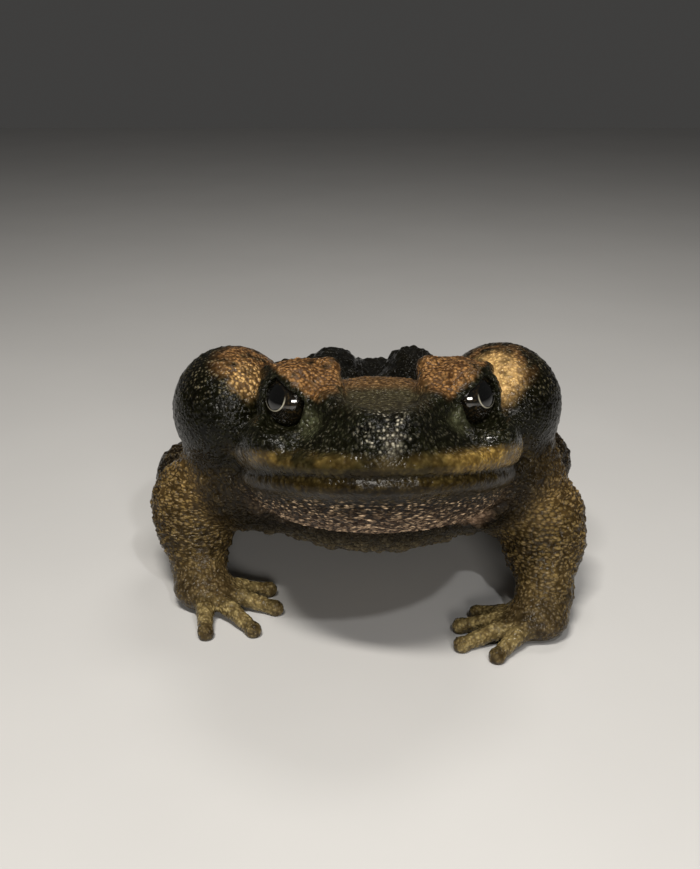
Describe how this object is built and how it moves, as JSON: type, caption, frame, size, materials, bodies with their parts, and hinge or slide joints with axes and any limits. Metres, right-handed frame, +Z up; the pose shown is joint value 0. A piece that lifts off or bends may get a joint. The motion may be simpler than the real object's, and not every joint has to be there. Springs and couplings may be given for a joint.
{
  "type": "cane toad",
  "caption": "Life-size still model of a heavy toad that sits up on its forelegs, with a broad head, bulging shoulder glands and warty skin.",
  "frame": {"origin": "on the floor under the middle of the belly, on the flat that the belly rests on", "axes": "+Z up, the toad faces -Y, its own left side is +X"},
  "size_m": [0.1954, 0.2464, 0.107],
  "materials": {
    "dark_head_skin": "wet, dark brown-black, granular",
    "throat_skin": "moist, olive brown with pale granules",
    "gland_skin": "wet, dark brown with tan patches and pores",
    "back_skin": "moist, very dark brown, warty",
    "limb_skin": "moist, olive brown, pebbled",
    "finger_skin": "moist, yellowish olive with dark tips",
    "eye": "very glossy, near black"
  },
  "bodies": {
    "root": {"head": "dark_head_skin", "lower_jaw": "throat_skin", "eye_left": "eye", "eye_right": "eye", "ear_left": "dark_head_skin", "ear_right": "dark_head_skin", "parotoid_left": "gland_skin", "parotoid_right": "gland_skin", "torso": "back_skin", "upper_arm_left": "limb_skin", "upper_arm_right": "limb_skin", "forearm_left": "limb_skin", "forearm_right": "limb_skin", "hand_left": "finger_skin", "hand_right": "finger_skin", "thigh_left": "limb_skin", "thigh_right": "limb_skin", "shank_left": "limb_skin", "shank_right": "limb_skin", "foot_left": "finger_skin", "foot_right": "finger_skin"}
  },
  "joints": []
}
